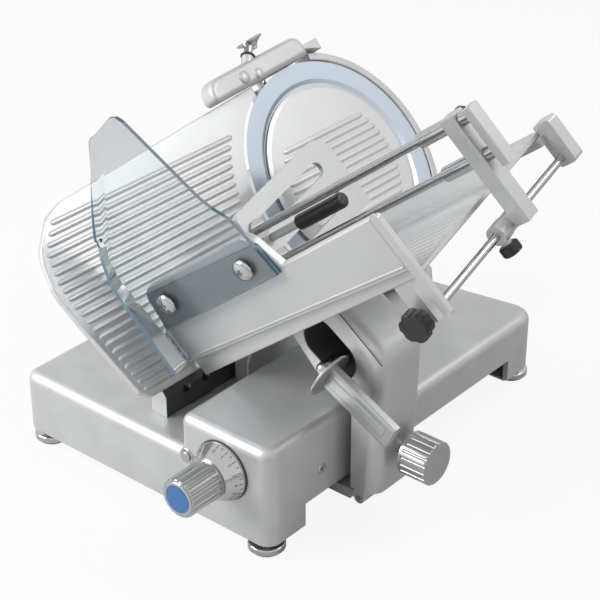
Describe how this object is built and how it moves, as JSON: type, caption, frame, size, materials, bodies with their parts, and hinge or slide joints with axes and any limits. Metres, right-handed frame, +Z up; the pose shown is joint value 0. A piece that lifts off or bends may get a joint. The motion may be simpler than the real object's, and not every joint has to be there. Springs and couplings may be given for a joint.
{
  "type": "gravity feed food slicer",
  "caption": "Counter food slicer with a tilted round blade, a ribbed gauge plate and a food tray on a hand-pushed carriage with a swinging food pusher.",
  "frame": {"origin": "middle of the whole machine's box, on the table", "axes": "+X towards the carriage side, +Y away from the operator along the carriage's stroke, +Z up"},
  "size_m": [0.6686, 0.7896, 0.5895],
  "materials": {
    "cast_aluminium": "satin cast and polished",
    "brushed_aluminium": "fine brushed",
    "dark_casting": "satin dark grey",
    "blade_steel": "ground and polished",
    "steel": "turned",
    "chrome": "polished",
    "black_plastic": "satin moulded",
    "clear_plastic": "clear acrylic",
    "rubber": "matt",
    "blue_cap": "gloss",
    "stone": "abrasive",
    "bronze": "sintered"
  },
  "bodies": {
    "base": {"base_casting": "cast_aluminium", "bottom_plate": "steel", "feet": "chrome", "foot_pads": "rubber", "side_ridge": "brushed_aluminium", "rod_mounts": "steel", "guide_rods": "chrome", "guard_ring": "cast_aluminium", "blade_carrier": "cast_aluminium", "blade_bearings": "steel", "drive_belt": "rubber", "motor": "dark_casting", "motor_cover": "cast_aluminium", "blade_cover": "cast_aluminium", "cover_tie_rod": "steel", "sharpener_post": "steel"},
    "gauge": {"gauge_plate": "brushed_aluminium", "gauge_bracket": "dark_casting", "gauge_slider": "steel"},
    "dial": {"thickness_shaft": "steel", "dial_cone": "chrome", "thickness_knob": "brushed_aluminium", "knob_cap": "blue_cap"},
    "button": {"start_button": "black_plastic"},
    "knife": {"blade": "blade_steel", "blade_shaft": "steel", "blade_nut": "steel", "driven_pulley": "steel"},
    "rotor": {"drive_pulley": "steel"},
    "rear_knob": {"tie_rod_knob": "black_plastic"},
    "sharpener": {"sharpener_housing": "cast_aluminium", "sharpener_stones": "stone"},
    "sharpener_grip": {"sharpener_knob": "chrome"},
    "slider": {"carriage_slider": "steel", "slide_bushes": "bronze", "tilt_pin": "steel"},
    "roller": {"guide_roller": "black_plastic"},
    "tray_arm": {"carriage_arm": "cast_aluminium", "carriage_handle": "brushed_aluminium", "handle_root": "cast_aluminium", "tray_wall": "cast_aluminium", "tray_floor": "brushed_aluminium", "tray_end_bar": "cast_aluminium", "far_bracket": "cast_aluminium", "pusher_rail": "chrome", "hand_guard": "clear_plastic", "guard_screws": "chrome"},
    "column_lock": {"column_knob": "brushed_aluminium", "column_shaft": "steel"},
    "tray_lock": {"tray_knob": "black_plastic"},
    "collar": {"rail_collar": "steel"},
    "arm_lock": {"arm_lock_knob": "black_plastic"},
    "beam": {"pusher_arm": "cast_aluminium", "rod_sleeves": "steel"},
    "rod_lock": {"rod_lock_knob": "black_plastic"},
    "pusher": {"feed_rods": "chrome", "yoke_bar": "cast_aluminium", "rod_fittings": "chrome"},
    "plate": {"pusher_plate": "cast_aluminium", "pusher_grip": "black_plastic"}
  },
  "joints": [
    {"name": "gauge_slide", "type": "slide", "parent": "base", "child": "gauge", "axis": [-1, 0, 0], "range_m": [0, 0.018]},
    {"name": "thickness_turn", "type": "hinge", "parent": "base", "child": "dial", "pos_m": [0.07356, -0.31085, 0.118], "axis": [0, -1, 0], "range_deg": [0, 300]},
    {"name": "start_press", "type": "slide", "parent": "base", "child": "button", "axis": [0, 1, 0], "range_m": [0, 0.002], "stiffness_N_per_m": 400},
    {"name": "blade_spin", "type": "hinge", "parent": "base", "child": "knife", "pos_m": [-0.14894, 0.20685, 0.2756], "axis": [0.7837, 0, 0.6211], "continuous": true},
    {"name": "motor_spin", "type": "hinge", "parent": "base", "child": "rotor", "pos_m": [-0.07937, 0.20685, 0.18783], "axis": [0.7837, 0, 0.6211], "continuous": true},
    {"name": "rear_knob_turn", "type": "hinge", "parent": "base", "child": "rear_knob", "pos_m": [-0.30254, 0.20685, 0.15385], "axis": [0.7837, 0, 0.6211], "continuous": true},
    {"name": "sharpener_lift", "type": "slide", "parent": "base", "child": "sharpener", "axis": [-0.6202, -0.0558, 0.7825], "range_m": [0, 0.02]},
    {"name": "sharpener_knob_turn", "type": "hinge", "parent": "sharpener", "child": "sharpener_grip", "pos_m": [-0.26554, 0.12726, 0.44525], "axis": [-0.4675, 0.6585, 0.5898], "continuous": true},
    {"name": "carriage_slide", "type": "slide", "parent": "base", "child": "slider", "axis": [0, 1, 0], "range_m": [0, 0.275]},
    {"name": "roller_turn", "type": "hinge", "parent": "slider", "child": "roller", "pos_m": [-0.00844, -0.12185, 0.0373], "axis": [1, 0, 0], "continuous": true},
    {"name": "carriage_tilt", "type": "hinge", "parent": "slider", "child": "tray_arm", "pos_m": [0.17956, -0.12185, 0.043], "axis": [0, 1, 0], "range_deg": [0, 25]},
    {"name": "column_lock_turn", "type": "hinge", "parent": "tray_arm", "child": "column_lock", "pos_m": [0.22556, -0.11685, 0.11], "axis": [1, 0, 0], "continuous": true},
    {"name": "tray_lock_turn", "type": "hinge", "parent": "tray_arm", "child": "tray_lock", "pos_m": [0.2938, -0.19945, 0.37063], "axis": [0.1397, -0.9744, -0.1763], "continuous": true},
    {"name": "pusher_cross", "type": "slide", "parent": "tray_arm", "child": "collar", "axis": [-0.1397, 0.9744, 0.1763], "range_m": [-0.06, 0.06]},
    {"name": "arm_lock_turn", "type": "hinge", "parent": "collar", "child": "arm_lock", "pos_m": [0.3091, -0.04973, 0.41573], "axis": [-0.6052, -0.225, 0.7636], "continuous": true},
    {"name": "pusher_swing", "type": "hinge", "parent": "collar", "child": "beam", "pos_m": [0.2953, -0.02684, 0.43314], "axis": [-0.1397, 0.9744, 0.1763], "range_deg": [0, 100]},
    {"name": "rod_lock_turn", "type": "hinge", "parent": "beam", "child": "rod_lock", "pos_m": [0.22882, -0.04578, 0.55886], "axis": [-0.1397, 0.9744, 0.1763], "continuous": true},
    {"name": "feed_slide", "type": "slide", "parent": "beam", "child": "pusher", "axis": [0.7837, 0, 0.6211], "range_m": [0, 0.2]},
    {"name": "plate_shift", "type": "slide", "parent": "pusher", "child": "plate", "axis": [-0.1397, 0.9744, 0.1763], "range_m": [-0.07, 0]}
  ],
  "couplings": [
    {"joint": "thickness_turn", "follows": "gauge_slide", "rad_per_m": 290.8},
    {"joint": "motor_spin", "follows": "blade_spin", "ratio": 3.1}
  ]
}
